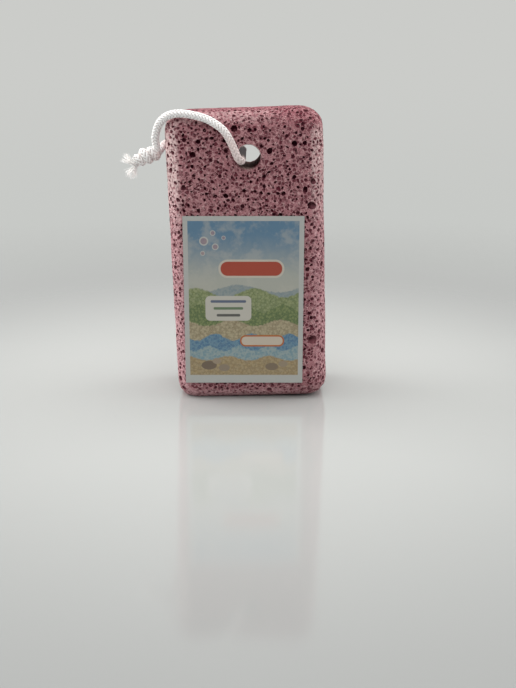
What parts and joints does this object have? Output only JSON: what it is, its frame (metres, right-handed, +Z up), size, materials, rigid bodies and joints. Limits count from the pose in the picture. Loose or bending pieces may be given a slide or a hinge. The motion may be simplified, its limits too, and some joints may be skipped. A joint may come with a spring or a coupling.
{
  "type": "pumice stone",
  "caption": "Rounded bar of foamed pumice for rubbing feet, with a drilled hole, a knotted cord loop to hang it by and a flat paper label.",
  "frame": {"origin": "middle of the flat base that the bar stands on", "axes": "+Z up along the bar's height, +Y from the labelled front to the back, +X to the right as seen from the front"},
  "size_m": [0.0685, 0.0405, 0.0985],
  "materials": {
    "pumice": "matt foamed stone, open pores",
    "label_paper": "smooth printed paper",
    "cord": "soft white braid"
  },
  "bodies": {
    "root": {"pumice_block": "pumice", "paper_label": "label_paper", "cord": "cord", "cord_knot": "cord"}
  },
  "joints": []
}
